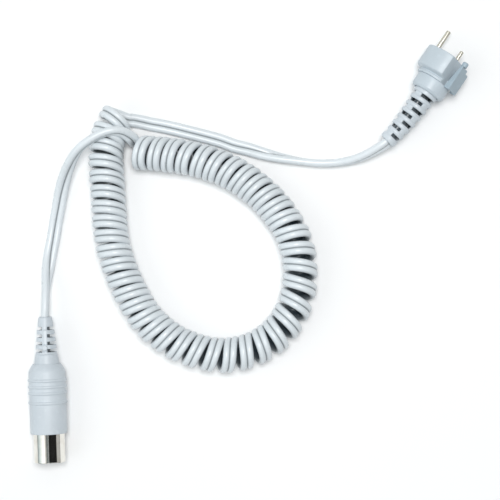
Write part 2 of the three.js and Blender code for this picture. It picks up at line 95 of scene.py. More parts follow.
def resampled(line, step):
    """The same line with points an even step apart, and its other columns carried along."""
    along = lengths_along(line)
    at = np.linspace(0, along[-1], max(2, round(along[-1] / step) + 1))
    return np.stack([np.interp(at, along, column) for column in line.T], axis=1)


def filleted(corners, closed=False, arc_points=9):
    """An outline whose corners (a, b, fillet radius) are rounded by arcs."""
    out, count = [], len(corners)
    for i, (a, b, radius) in enumerate(corners):
        here = np.array([a, b], float)
        if radius == 0 or (not closed and i in (0, count - 1)):
            out.append(here)
            continue
        to_last = np.array(corners[i - 1][:2], float) - here
        to_next = np.array(corners[(i + 1) % count][:2], float) - here
        room = 0.49 * min(np.linalg.norm(to_last), np.linalg.norm(to_next))
        u, v = unit(to_last), unit(to_next)
        half = math.acos(np.clip(u @ v, -1, 1)) / 2
        reach = min(radius / math.tan(half), room)
        radius = reach * math.tan(half)
        centre = here + unit(u + v) * radius / math.sin(half)
        first, last = here + u * reach - centre, here + v * reach - centre
        begin = math.atan2(first[1], first[0])
        sweep = (math.atan2(last[1], last[0]) - begin + math.pi) % (2 * math.pi) - math.pi
        for share in np.linspace(0, 1, arc_points):
            turn = begin + sweep * share
            out.append(centre + radius * np.array([math.cos(turn), math.sin(turn)]))
    return np.array(out)


# ------------------------ raw shapes, as (points, faces)


def grid_faces(rows, columns, close_rows=False):
    """Quads of a grid whose columns go round; the rows close on themselves too if asked."""
    faces = []
    for i in range(rows if close_rows else rows - 1):
        a, b = i * columns, (i + 1) % rows * columns
        for j in range(columns):
            k = (j + 1) % columns
            faces.append((a + j, a + k, b + k, b + j))
    return faces


def merged(*shapes):
    points, faces, offset = [], [], 0
    for shape_points, shape_faces in shapes:
        points.append(shape_points)
        faces += [tuple(i + offset for i in face) for face in shape_faces]
        offset += len(shape_points)
    return np.vstack(points), faces


def moved(shape, by):
    return shape[0] + np.asarray(by, float), shape[1]


def scaled(shape, by):
    return shape[0] * np.asarray(by, float), shape[1]


def turned_to(shape, axis, degrees):
    """The shape turned about one of the three axes of its frame."""
    turn = np.array(Matrix.Rotation(math.radians(degrees), 3, axis))
    return shape[0] @ turn.T, shape[1]


def lofted(rings, close_rows=False):
    """A skin through rings of equally many points each, capped at its ends unless it closes on itself."""
    rows, count = len(rings), len(rings[0])
    faces = grid_faces(rows, count, close_rows)
    if not close_rows:
        faces += [tuple(range(count - 1, -1, -1)), tuple(range((rows - 1) * count, rows * count))]
    return np.vstack(rings), faces


def lathe(profile, facets):
    """Turned about Y from (radius, y) pairs that start and end on the axis, or go once round a ring."""
    profile = np.asarray(profile, float)
    ring_shape = profile[0, 0] > 0
    rings = profile if ring_shape else profile[1:-1]
    angle = np.arange(facets) * 2 * math.pi / facets
    x, z = rings[:, :1] * np.cos(angle), -rings[:, :1] * np.sin(angle)
    y = np.repeat(rings[:, 1:2], facets, axis=1)
    points = np.stack([x, y, z], axis=-1).reshape(-1, 3)
    faces = grid_faces(len(rings), facets, close_rows=ring_shape)
    if not ring_shape:
        low, high = len(points), len(points) + 1
        top = (len(rings) - 1) * facets
        points = np.vstack([points, [0, profile[0, 1], 0], [0, profile[-1, 1], 0]])
        for j in range(facets):
            k = (j + 1) % facets
            faces += [(low, k, j), (high, top + j, top + k)]
    return points, faces


def rod(radius, start, end, facets=48):
    return lathe([(0, start), (radius, start), (radius, end), (0, end)], facets)


def ring_at(outline, y):
    """An outline in x and z as a ring of points at one y."""
    outline = np.asarray(outline, float)
    return np.column_stack([outline[:, 0], np.full(len(outline), y), outline[:, 1]])


def extruded(outline, start, end):
    return lofted([ring_at(outline, start), ring_at(outline, end)])


def slab(outline, low, high):
    """An outline in x and y, run along z."""
    points, faces = extruded(outline, low, high)
    return points[:, [0, 2, 1]], faces


def box(low, high):
    (x0, y0, z0), (x1, y1, z1) = low, high
    return slab([(x0, y0), (x1, y0), (x1, y1), (x0, y1)], z0, z1)


def slot_outline(half_width, half_height, steps=12):
    """A round-ended slot, longer along its second number."""
    turns = np.linspace(0, math.pi, steps + 1)
    rise = half_height - half_width
    cap = np.column_stack([half_width * np.cos(turns), rise + half_width * np.sin(turns)])
    return np.vstack([cap, -cap])


# further out than any boot's outside
SLOT_CUTTER_REACH = 12


def slot_cutters(start, end, bridge, roll):
    """Two blocks that cut a gap but leave a bridge of the given width above and below."""
    reach = SLOT_CUTTER_REACH
    return [
        turned_to(box((bridge / 2, start, -reach), (reach, end, reach)), "Y", side - roll)
        for side in (0, 180)
    ]


# ------------------------ objects


def new_object(name, shape, uv=None, painted_shade=None, crease=180):
    """A smooth-shaded object from a raw shape, sharp where it turns by more than the crease angle."""
    mesh = bpy.data.meshes.new(name)
    mesh.from_pydata(shape[0].tolist(), [], shape[1])
    if uv is not None:
        layer = mesh.uv_layers.new(name="uv")
        corners = np.zeros(len(mesh.loops), np.int32)
        mesh.loops.foreach_get("vertex_index", corners)
        layer.data.foreach_set("uv", np.asarray(uv, np.float32)[corners].ravel())
    if painted_shade is not None:
        mesh.attributes.new("painted_shade", "FLOAT", "POINT").data.foreach_set("value", painted_shade.astype(np.float32))
    work = bmesh.new()
    work.from_mesh(mesh)
    bmesh.ops.recalc_face_normals(work, faces=work.faces)
    for face in work.faces:
        face.smooth = True
    for edge in work.edges:
        edge.smooth = edge.calc_face_angle(0) < math.radians(crease)
    work.to_mesh(mesh)
    work.free()
    made = bpy.data.objects.new(name, mesh)
    bpy.context.scene.collection.objects.link(made)
    return made


def apply_modifiers(made):
    graph = bpy.context.evaluated_depsgraph_get()
    mesh = bpy.data.meshes.new_from_object(made.evaluated_get(graph))
    made.modifiers.clear()
    made.data = mesh


def remeshed(made, voxel, smoothing):
    remesh = made.modifiers.new("remesh", "REMESH")
    remesh.mode = "VOXEL"
    remesh.voxel_size = voxel
    remesh.use_smooth_shade = True
    if smoothing:
        smooth = made.modifiers.new("smooth", "SMOOTH")
        smooth.factor = 0.5
        smooth.iterations = smoothing
    apply_modifiers(made)


def combined(made, shapes, operation):
    """Joins raw shapes on to a piece, or takes them out of it, one after another."""
    for shape in shapes:
        tool = new_object(f"{made.name}_tool", shape)
        change = made.modifiers.new("combine", "BOOLEAN")
        change.operation = operation
        change.solver = "MANIFOLD"
        change.object = tool
        apply_modifiers(made)
        bpy.data.objects.remove(tool)


def cut(made, cutters):
    combined(made, cutters, "DIFFERENCE")


MOULDED_VOXEL = 0.1
MOULDED_SMOOTHING = 4


def moulded(name, parts, cutters):
    """One soft-edged body: the parts melted together, with the cutters taken out."""
    made = new_object(name, merged(*parts))
    remeshed(made, MOULDED_VOXEL, 0)
    cut(made, cutters)
    remeshed(made, MOULDED_VOXEL, MOULDED_SMOOTHING)
    return made


def points_of(made):
    co = np.zeros(len(made.data.vertices) * 3, np.float32)
    made.data.vertices.foreach_get("co", co)
    return co.reshape(-1, 3).astype(float)


def paint_shade(made, depth, near=0.5, far=1.4):
    """Paints shade on each point by how deep it lies below the outside, from a function of the points."""
    share = np.clip((depth(points_of(made)) - near) / (far - near), 0, 1)
    layer = made.data.attributes.new("painted_shade", "FLOAT", "POINT")
    layer.data.foreach_set("value", (share * share * (3 - 2 * share)).astype(np.float32))
    return made


def reshaped(made, change):
    """Moves every point of a finished mesh by a function of the points."""
    made.data.vertices.foreach_set("co", change(points_of(made)).astype(np.float32).ravel())
    made.data.update()
    return made


def finished(made, place, material, body, slot, *nodes):
    """Puts a piece where it belongs, gives it its material, hangs it on its body and hides the parts it
    stands in for.
    """
    made.data.transform(place)
    made.data.materials.clear()
    made.data.materials.append(material)
    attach(made, body)
    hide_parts(*nodes)


# ------------------------ places

MOUNTS = {mount["name"]: mount for mount in record["mounts"]}
# where the mounts lie in their plugs' frames: along the round plug; across and along the other
ROUND_FACE_AT = 52.6
TWO_PIN_FACE_AT = (-2.0, 17.8)


def place_matrix(x, y, z, origin):
    columns = np.column_stack([x * MM, y * MM, z * MM, origin])
    return Matrix([*columns.tolist(), [0, 0, 0, 1]])


def round_plug_place():
    mount = MOUNTS["round_plug_insulator_face"]
    forward = unit(np.array(mount["axis"], float))
    origin = np.array(mount["pos_m"]) - forward * ROUND_FACE_AT * MM
    return place_matrix(np.cross(forward, UP), forward, UP, origin)


def two_pin_places():
    """The two-pin plug's level frame and its rolled frame."""
    mount = MOUNTS["two_pin_front_face"]
    forward = unit(np.array(mount["axis"], float))
    rolled_up = unit(np.array(record["behaviour"]["joints"][0]["axis"], float))
    rolled_right = np.cross(forward, rolled_up)
    across, ahead = TWO_PIN_FACE_AT
    origin = np.array(mount["pos_m"]) - (forward * ahead + rolled_right * across) * MM
    level = place_matrix(np.cross(forward, UP), forward, UP, origin)
    return level, place_matrix(rolled_right, forward, rolled_up, origin)


# ------------------------ materials


def fill_ramp(node, stops):
    """Gives a ramp node its (position, colour or grey) stops."""
    elements = node.color_ramp.elements
    while len(elements) < len(stops):
        elements.new(0.5)
    for element, (position, value) in zip(elements, stops):
        element.position = position
        element.color = (value, value, value, 1) if np.isscalar(value) else (*value, 1)


def toned(colour, share):
    """The colour made darker, or paler where the share is above one."""
    return tuple(min(c * share, 1) for c in colour)


class Nodes:
    """A material's node tree, with short ways to add and join its nodes."""

    def __init__(self, name, metallic=0.0, specular=0.5):
        self.material = bpy.data.materials.new(name)
        self.material.use_nodes = True
        self.tree = self.material.node_tree
        self.shader = self.tree.nodes["Principled BSDF"]
        self.shader.inputs["Metallic"].default_value = metallic
        self.shader.inputs["Specular IOR Level"].default_value = specular
        self.object_place = self.add("ShaderNodeTexCoord").outputs["Object"]

    def add(self, kind, **settings):
        node = self.tree.nodes.new(kind)
        for key, value in settings.items():
            setattr(node, key, value)
        return node

    def link(self, source, target):
        self.tree.links.new(source, target)

    def stretched(self, scale, coordinates=None):
        node = self.add("ShaderNodeMapping")
        node.inputs["Scale"].default_value = scale
        self.link(coordinates or self.object_place, node.inputs["Vector"])
        return node.outputs["Vector"]

    def noise(self, scale, detail=3.0, coordinates=None):
        node = self.add("ShaderNodeTexNoise")
        node.inputs["Scale"].default_value = scale
        node.inputs["Detail"].default_value = detail
        self.link(coordinates or self.object_place, node.inputs["Vector"])
        return node.outputs["Fac"]

    def ramp(self, source, stops):
        """A ramp through (position, colour or grey) stops."""
        node = self.add("ShaderNodeValToRGB")
        fill_ramp(node, stops)
        self.link(source, node.inputs["Fac"])
        return node.outputs["Color"]

    def mix(self, share, first, second):
        """A colour between two, each a colour or an output."""
        node = self.add("ShaderNodeMix", data_type="RGBA")
        for key, value in ((0, share), (6, first), (7, second)):
            if isinstance(value, bpy.types.NodeSocket):
                self.link(value, node.inputs[key])
            else:
                node.inputs[key].default_value = value if key == 0 else (*value, 1)
        return node.outputs[2]

    def painted_shade(self):
        """The painted shade the mesh carries, deep in slots and between turns."""
        return self.add("ShaderNodeAttribute", attribute_name="painted_shade").outputs["Fac"]

    def bump(self, source, distance_mm, strength, below=None):
        node = self.add("ShaderNodeBump")
        node.inputs["Strength"].default_value = strength
        node.inputs["Distance"].default_value = distance_mm * MM
        self.link(source, node.inputs["Height"])
        if below is not None:
            self.link(below, node.inputs["Normal"])
        return node.outputs["Normal"]

    def finish(self, colour, roughness, normal=None):
        self.link(colour, self.shader.inputs["Base Color"])
        self.link(roughness, self.shader.inputs["Roughness"])
        if normal is not None:
            self.link(normal, self.shader.inputs["Normal"])
        return self.material


FLEX_COLOUR = (0.76, 0.81, 0.84)
PLUG_COLOUR = (0.62, 0.675, 0.72)
HEAD_COLOUR = (0.55, 0.62, 0.67)
# the lever and its nub are of the head's plastic, painted darker for the shade they lie in
LEVER_SHADED_COLOUR = (0.37, 0.46, 0.52)
# the colour of painted shade, deep in slots, inside the coil and inside the boots
PAINTED_SHADE_COLOUR = (0.04, 0.06, 0.075)
# noise scales that draw lines lengthways: along the flex's own coordinates, and along Y on metal
FLEX_LINES = (0.05, 90, 1)
DRAWING_LINES = (7000, 120, 7000)


def flex_material():
    """Glossy blue-grey PVC with faint lines along the flex, and painted shade deep between the turns and in
    the groove between the cores.
    """
    n = Nodes("flex_pvc", specular=0.55)
    uv = n.add("ShaderNodeTexCoord").outputs["UV"]
    lines = n.noise(1.0, 2.0, n.stretched(FLEX_LINES, uv))
    cloud = n.noise(60)
    base = n.mix(n.ramp(cloud, [(0.3, 0.0), (0.7, 1.0)]), FLEX_COLOUR, toned(FLEX_COLOUR, 0.94))
    # painted shade towards the inside of the coil, in the groove between the cores and inside the boots
    colour = n.mix(n.painted_shade(), base, PAINTED_SHADE_COLOUR)
    rough = n.ramp(n.noise(140), [(0.3, 0.24), (0.7, 0.34)])
    fine = n.bump(lines, 0.02, 0.5)
    return n.finish(colour, rough, n.bump(n.noise(900), 0.01, 0.35, fine))


def moulding_material(name, colour, rough=(0.34, 0.46), grain=0.012):
    """Satin moulded PVC: a fine spark-eroded grain, faint flow clouds, rubbed, paler patches, and painted
    shade deep in its slots.
    """
    n = Nodes(name, specular=0.45)
    clouds = n.ramp(n.noise(110, 4.0), [(0.32, 0.0), (0.68, 1.0)])
    base = n.mix(clouds, colour, toned(colour, 0.93))
    rubbed = n.ramp(n.noise(420, 5.0), [(0.58, 0.0), (0.72, 0.35)])
    base = n.mix(rubbed, base, toned(colour, 1.14))
    # painted shade deep in the slots
    base = n.mix(n.painted_shade(), base, PAINTED_SHADE_COLOUR)
    roughness = n.ramp(n.noise(250, 4.0), [(0.3, rough[0]), (0.7, rough[1])])
    ripple = n.bump(n.noise(700, 2.0), grain * 2.5, 0.35)
    return n.finish(base, roughness, n.bump(n.noise(3800, 3.0), grain, 0.6, ripple))


def metal_material(name, colour, tarnish, rough, metallic=1.0):
    """Plated metal with fine drawing lines and a little tarnish."""
    n = Nodes(name, metallic=metallic)
    streaks = n.noise(1.0, 3.0, n.stretched(DRAWING_LINES))
    patches = n.ramp(n.noise(260, 5.0), [(0.45, 0.0), (0.75, 0.55)])
    roughness = n.ramp(streaks, [(0.3, rough[0]), (0.7, rough[1])])
    return n.finish(n.mix(patches, colour, tarnish), roughness, n.bump(streaks, 0.0015, 0.3))


def core_material(name, colour):
    """Thin core insulation, a little waxy and scuffed where it was stripped."""
    n = Nodes(name, specular=0.5)
    scuffs = n.ramp(n.noise(900, 4.0), [(0.5, 0.0), (0.7, 0.5)])
    base = n.mix(scuffs, colour, toned(colour, 0.7))
    return n.finish(base, n.ramp(n.noise(500), [(0.3, 0.3), (0.7, 0.55)]), n.bump(n.noise(1500), 0.02, 0.4))


def floor_material():
    n = Nodes("table_top", specular=0.1)
    colour = n.ramp(n.noise(6, 2.0), [(0.3, 0.93), (0.7, 0.945)])
    return n.finish(colour, n.ramp(n.noise(400, 3.0), [(0.3, 0.75), (0.7, 0.85)]))


# ------------------------ the cord

FLEX = {"width": 5.8, "thickness": 3.1, "pitch": 2.7, "fillet": 0.12}
LOBE_POINTS = 15
COIL_MEAN_RADIUS = 6.0
COIL_AXIS_HEIGHT = 8.0
COIL_TURNS = 42
RINGS_PER_TURN = 36
RING_STEP = 1.05
# how far the set is moved along X to bring its plugs' and leads' box over the origin
CENTRING = 0.55
# how dark the painted shade inside the coil is, by how far a point of the flex faces out of it, from 1 to
# -1
DARKEST = 0.95
SHADE_START, SHADE_SPAN, SHADE_POWER = 0.5, 1.1, 1.2
# how dark the painted shade in the groove between the two cores is, and how far across it reaches
GROOVE_SHADE = 0.75
GROOVE_SHADE_REACH = 0.3

# middle of the curly stretch over the table
CURLY_ROUTE = [
    (-47.0, 40.1), (-39.4, 39.4), (-31.8, 38.6), (-24.2, 37.3), (-17.0, 35.4), (-10.6, 33.0),
    (-5.0, 30.1), (0.2, 26.7), (5.3, 22.7), (9.8, 18.2), (13.7, 13.4), (17.1, 8.2), (19.7, 2.4),
    (21.4, -3.8), (22.0, -10.4), (21.6, -17.0), (20.2, -23.3), (17.7, -29.1), (14.2, -34.4),
    (9.6, -39.0), (4.0, -42.6), (-2.4, -45.0), (-9.2, -46.1), (-16.2, -45.7), (-23.0, -44.0),
    (-29.5, -41.4), (-35.4, -37.8), (-40.6, -33.4), (-44.9, -28.2), (-48.6, -22.2), (-51.8, -15.8),
    (-54.6, -9.2), (-56.8, -2.4), (-58.2, 4.6), (-59.0, 11.8), (-59.4, 19.1), (-59.9, 26.4),
    (-60.4, 33.6), (-60.3, 40.6), (-59.5, 46.2), (-58.2, 50.5), (-56.2, 53.9),
]
# how far apart the turns stand, as (turn, pitch)
COIL_PITCH = [
    (0, 5.9), (2, 6.1), (4, 6.5), (8, 6.2), (11, 6.1), (13, 7.1), (16, 7.9), (17, 8.3), (19, 7.4),
    (23, 7.2), (26, 6.5), (28, 6.1), (31, 6.4), (34, 6.0), (38, 6.6), (42, 5.8),
]
# how far the turns begin before the route does, and the share of the first turn the lead takes over
COIL_BEFORE_ROUTE = 1.4
FIRST_TURN_CUT = 0.15
# how far the turns' tops lean along the route, at its start and its end
COIL_LEAN = (-2.0, 1.9)
HEADING_REACH = 2
# how many rings into the coil a lead's line looks to meet it smoothly
JOIN_REACH = 4
# how the turns differ from one to the next, as (size, seed)
UNEVEN_PITCH, UNEVEN_RADIUS, UNEVEN_LEAN = (0.12, 0.4), (0.05, 1.9), (0.12, 3.1)

# the leads, each point with the roll of the flex's wide way above the left-hand side
ROUND_LEAD = [
    (-86.4, -30.6, 8.0, 90), (-86.4, -29.4, 8.0, 90), (-86.2, -24.7, 8.0, 90), (-86.2, -18.5, 6.5, 88),
    (-85.8, -10.9, 3.8, 50), (-84.9, -3.6, 2.1, 15), (-83.6, 3.4, 1.7, 0), (-82.5, 10.1, 1.8, 0),
    (-81.2, 16.7, 2.8, 4), (-79.8, 23.4, 4.9, 14), (-77.8, 29.8, 8.2, 34), (-75.2, 35.4, 12.0, 58),
    (-72.4, 39.6, 14.9, 74), (-69.6, 42.4, 16.5, 82), (-66.7, 44.5, 17.2, 84), (-63.7, 46.3, 17.3, 84),
    (-60.6, 47.6, 17.3, 82), (-57.6, 48.3, 17.2, 76), (-54.8, 48.4, 16.4, 66), (-52.5, 47.9, 15.0, 55),
    (-50.8, 46.9, 13.5, 42), (-49.5, 45.9, 11.7, 32),
]
INTO_COIL = [(-48.7, 44.8, 8.8), (-48.1, 44.1, 5.8)]
OUT_OF_COIL = [(-57.2, 56.2, 2.2)]
TWO_PIN_LEAD = [
    (-52.0, 54.3, 1.7, 0), (-49.0, 54.0, 1.7, 0), (-45.5, 53.3, 1.7, 0), (-41.5, 52.4, 1.7, 0),
    (-37.0, 51.6, 1.7, 0), (-31.5, 50.4, 1.7, 0), (-25.5, 48.9, 1.7, 0), (-19.5, 47.4, 1.7, 0),
    (-12.5, 45.5, 1.7, 0), (-6.1, 43.2, 1.8, -4), (0.2, 41.6, 2.0, -16), (6.2, 39.8, 2.4, -34),
    (13.8, 38.0, 2.8, -62), (21.5, 36.6, 3.0, -84), (29.1, 35.7, 3.1, -90), (36.7, 35.7, 3.7, -94),
    (43.4, 36.7, 5.0, -100), (48.3, 38.2, 6.6, -106), (52.6, 40.2, 8.1, -112), (56.1, 42.2, 9.1, -118),
    (58.5, 43.8, 9.4, -122), (59.2, 45.0, 9.45, -123),
]


def flex_section():
    """Outline of the twin flex: two round lobes that meet in a small fillet on each side."""
    lobe, half, fillet = FLEX["thickness"] / 2, FLEX["pitch"] / 2, FLEX["fillet"]
    rise = math.sqrt((lobe + fillet) ** 2 - half**2)
    reach = math.pi - math.atan2(rise, half)
    points = []
    bend = math.atan2(half, rise)
    for side in (1, -1):
        turns = np.linspace(-reach, reach, LOBE_POINTS)
        points += [(side * (half + lobe * math.cos(t)), side * lobe * math.sin(t)) for t in turns]
        for t in (-bend / 2, 0, bend / 2):
            points.append((-side * fillet * math.sin(t), side * (rise - fillet * math.cos(t))))
    return np.array(points)


def unevenness(turns, size, seed):
    """A small smooth change from turn to turn."""
    return size * (np.sin(turns * 2.3 + seed) + 0.6 * np.sin(turns * 4.1 + seed * 2.7))


def coil_rings():
    """Centres of the flex round the curly stretch, the way out from its middle, and its wide way."""
    axis = catmull_rom(CURLY_ROUTE)
    before = axis[0] - unit(axis[1] - axis[0]) * COIL_BEFORE_ROUTE
    axis = np.vstack([before, axis])
    along = lengths_along(axis)
    turns = np.linspace(0, COIL_TURNS, COIL_TURNS * RINGS_PER_TURN + 1)
    pitch = np.interp(turns, *zip(*COIL_PITCH)) + unevenness(turns, *UNEVEN_PITCH)
    place = np.concatenate([[0], np.cumsum((pitch[1:] + pitch[:-1]) / 2)])
    place *= along[-1] / place[-1]

    def axis_at(offset):
        return np.stack([np.interp(place + offset, along, axis[:, k]) for k in (0, 1)], axis=1)

    heading = unit(axis_at(HEADING_REACH) - axis_at(-HEADING_REACH))
    left = np.stack([-heading[:, 1], heading[:, 0]], axis=1)
    angle = turns * 2 * math.pi
    radius = (COIL_MEAN_RADIUS + unevenness(turns, *UNEVEN_RADIUS))[:, None]
    lean = (np.interp(turns, (0, COIL_TURNS), COIL_LEAN) + unevenness(turns, *UNEVEN_LEAN))[:, None]
    sine, cosine = np.sin(angle)[:, None], np.cos(angle)[:, None]
    flat = radius * cosine * left - lean * sine * heading
    centres = np.hstack([axis_at(0) + flat, COIL_AXIS_HEIGHT - radius * sine])
    outward = unit(np.hstack([flat, -radius * sine]))
    return centres, outward, unit(np.cross(np.gradient(centres, axis=0), outward))


def lead_rings(lead):
    """Points of a lead with the wide way at each, from its route and rolls, and no way out of a coil."""
    route = np.array(lead, float)
    tangent = unit(np.gradient(route[:, :3], axis=0))
    left = unit(np.column_stack([-tangent[:, 1], tangent[:, 0], np.zeros(len(route))]))
    roll = np.radians(route[:, 3:])
    wide = left * np.cos(roll) + np.cross(tangent, left) * np.sin(roll)
    return np.hstack([route[:, :3], wide, np.zeros((len(route), 3))])


def linking_rings(points, before, after):
    """Rings at given points between two known rings, whose wide ways they blend."""
    rings = []
    for point, share in zip(points, np.linspace(0, 1, len(points) + 2)[1:-1]):
        wide = unit(before[3:6] * (1 - share) + after[3:6] * share)
        rings.append(np.concatenate([point, wide, np.zeros(3)]))
    return rings


def cord_rings():
    """Every ring of the whole cord: its centre, its wide way, and the way out where it is in the coil."""
    centres, outward, wide = coil_rings()
    coil = np.hstack([centres, wide, outward])[round(FIRST_TURN_CUT * RINGS_PER_TURN):]
    lead_in, lead_out = lead_rings(ROUND_LEAD), lead_rings(TWO_PIN_LEAD)
    coil[:, 3:6] *= np.sign(lead_in[-1, 3:6] @ coil[0, 3:6])
    lead_out[:, 3:6] *= np.sign(lead_out[0, 3:6] @ coil[-1, 3:6])
    dive = linking_rings(INTO_COIL, lead_in[-1], coil[0])
    rise = linking_rings(OUT_OF_COIL, coil[-1], lead_out[0])
    into = catmull_rom(np.vstack([lead_in, *dive, coil[0], coil[JOIN_REACH]]))[:-PER_SPAN]
    out_of = catmull_rom(np.vstack([coil[-1 - JOIN_REACH], coil[-1], *rise, lead_out]))[PER_SPAN:]
    rings = resampled(np.vstack([into[:-1], coil[:-1], out_of]), RING_STEP)
    rings[:, 0] += CENTRING
    return rings


def swept_flex(name, centres, wide, painted_shade):
    """The twin flex run through the centres, with its wide way as given."""
    section = flex_section()
    tangent = unit(np.gradient(centres, axis=0))
    wide = unit(wide - (wide * tangent).sum(1, keepdims=True) * tangent)
    across = np.cross(wide, tangent)
    offsets = section[None, :, :1] * wide[:, None] + section[None, :, 1:] * across[:, None]
    count = len(section)
    along = lengths_along(centres)
    uv = np.stack(np.broadcast_arrays(along[:, None], np.arange(count)[None] / count), axis=-1)
    skin = lofted(list(centres[:, None] + offsets))
    return new_object(name, skin, uv.reshape(-1, 2), painted_shade(offsets).ravel())


def painted_boot_shade(offsets):
    """The flex inside a boot is painted in shade all along."""
    return np.full(offsets.shape[:2], DARKEST)


def straight_line(start, end, count):
    """Points an even step apart along Y."""
    return np.column_stack([np.zeros(count), np.linspace(start, end, count), np.zeros(count)])


def make_cord(material):
    rings = cord_rings()
    centres, wide, outward = rings[:, :3], rings[:, 3:6], rings[:, 6:9]
    groove = np.exp(-(flex_section()[:, 0] / GROOVE_SHADE_REACH) ** 2)

    def painted_shade(offsets):
        """Painted shade towards the inside of the coil, and a little in the groove between the two cores.
        """
        out = (unit(offsets) * outward[:, None]).sum(-1)
        in_coil = np.linalg.norm(outward, axis=1)[:, None]
        shade = np.clip((SHADE_START - out) / SHADE_SPAN, 0, 1) ** SHADE_POWER
        return np.clip(DARKEST * in_coil * shade + GROOVE_SHADE * groove[None], 0, 1)

    flex = swept_flex("curly_flex", centres, wide, painted_shade)
    finished(flex, Matrix.Scale(MM, 4), material, ROOT, "flex_pvc",
             "curly_cord", "lead_to_round_plug", "lead_to_two_pin_plug")


# ------------------------ round plug

SLOT_STATIONS = (4.25, 7.4, 10.5, 13.6)
SLOT_WIDTH = 1.4
BRIDGE = 2.1
# the boot's slotted tail is taller than it is wide, until that fades into its round base
TAIL_TALL = 1.24
TALL_FADES = (14.4, 15.6)
# places along the boot, and how far out it is there
BOOT_OUTSIDE = ((0, 4.25, 14, 15, 20), (2.9, 3.4, 4.4, 4.4, 5.3))
RING_MARK = {"at": 13.2, "dot": 1.15, "ditch": 1.6, "top": 5.62, "bottom": 4.8}
FLEX_ROOM = (1.8, 3.15)
ROUND_TAIL = {"start": 1.6, "end": 30, "rings": 30}
SLEEVE = {
    "start": 20, "end": 49.6, "rear": 5.95, "shoulder": 7.45, "body": 7.8,
    "bore": 6.9, "bore_start": 24, "neck": 5.65,
}
RIB_STATIONS = (26.9, 29.6, 32.3, 36.4)
RIB = {"radius": 8.25, "half_foot": 0.75, "half_top": 0.3}
FLASH = {"height": 0.07, "turn": 0.09, "width": 0.14}
SHELL = {"radius": 6.6, "wall": 0.5, "start": 36, "mouth": 61.8}
KEY = {"mouth": 5.8, "floor": 3.4, "depth": 1.3, "turn": 22, "lip": 0.12, "fillet": 0.3, "spread": 0.4}
KEYED_ARC_POINTS = 121
INSULATOR = {"start": 49.4, "gap": 0.12, "edge": 0.3}
SINK = {"floor": 48, "radius": 0.8, "mouth": 1.25, "top": 53}
PIN_CIRCLE = 7.0
PIN_TURNS = (90, 180, 270)


def ring_mark(outline):
    """A small turned shape standing on top of the boot, where its ring mark is."""
    return moved(turned_to(lathe(filleted(outline), 48), "X", 90), (0, RING_MARK["at"], 0))


def round_plug_boot():
    tail = lathe(filleted([
        (0, 0, 0), (2.85, 0, 0.8), (3.35, 4.25, 0.3), (3.4, 5.4, 0.5), (3.7, 5.7, 0.5), (3.8, 7.4, 0.6),
        (4.1, 10.4, 0.6), (4.45, 13.6, 0.6), (4.4, 16, 0.1), (0, 16, 0),
    ]), 96)
    base = lathe(filleted([
        (0, 15.0, 0), (4.3, 15.0, 0.9), (4.75, 16.3, 0.5), (5.35, 20, 0.05), (5.35, 24.3, 0.05),
        (6.6, 24.3, 0.2), (6.6, 26, 0.2), (0, 26, 0),
    ]), 96)
    inner, outer, top, bottom = (RING_MARK[key] for key in ("dot", "ditch", "top", "bottom"))
    dot = ring_mark([(0, 3, 0), (inner, 3, 0), (inner, top, 0.25), (0, top, 0)])
    ditch = ring_mark([(inner, bottom, 0), (outer, bottom, 0), (outer, 6.5, 0), (inner, 6.5, 0)])
    cutters = [extruded(slot_outline(*FLEX_ROOM), -1, 27)]
    for start in SLOT_STATIONS:
        cutters += slot_cutters(start, start + SLOT_WIDTH, BRIDGE, 0)
    cutters.append(ditch)
    made = moulded("round_boot", [scaled(tail, (1, 1, TAIL_TALL)), base, dot], cutters)

    # the boot is painted in shade by how deep a point lies below its outside, in the slots
    def depth(p):
        tall = np.interp(p[:, 1], TALL_FADES, (TAIL_TALL, 1))
        return np.interp(p[:, 1], *BOOT_OUTSIDE) - np.hypot(p[:, 0], p[:, 2] / tall)

    return paint_shade(made, depth)


def round_plug_sleeve():
    start, end, body, bore = SLEEVE["start"], SLEEVE["end"], SLEEVE["body"], SLEEVE["bore"]
    neck, bore_start = SLEEVE["neck"], SLEEVE["bore_start"]
    rib, foot, top = RIB["radius"], RIB["half_foot"], RIB["half_top"]
    corners = [
        (neck, start, 0.1), (SLEEVE["rear"], start, 0.25),
        (SLEEVE["shoulder"], start + 2.4, 0.8), (body, start + 3.4, 0.5),
    ]
    for y in RIB_STATIONS:
        corners += [(body, y - foot, 0.15), (rib, y - top, 0.3)]
        corners += [(rib, y + top, 0.3), (body, y + foot, 0.15)]
    corners += [(body, end, 1.3), (bore, end, 0.12), (bore, bore_start, 0.1), (neck, bore_start, 0.1)]
    made = new_object("round_sleeve", lathe(filleted(corners, closed=True), 256))

    def parting_line(p):
        """A hairline flash ridge along the mould's parting, up and down."""
        radius = np.hypot(p[:, 0], p[:, 2])
        turn = np.arctan2(p[:, 0], np.abs(p[:, 2]))
        ridge = FLASH["height"] * np.exp(-((turn - FLASH["turn"]) * radius / FLASH["width"]) ** 2)
        ridge = ridge * (radius > bore + 0.2)
        return p * np.column_stack([1 + ridge / radius, np.ones(len(p)), 1 + ridge / radius])

    return reshaped(made, parting_line)


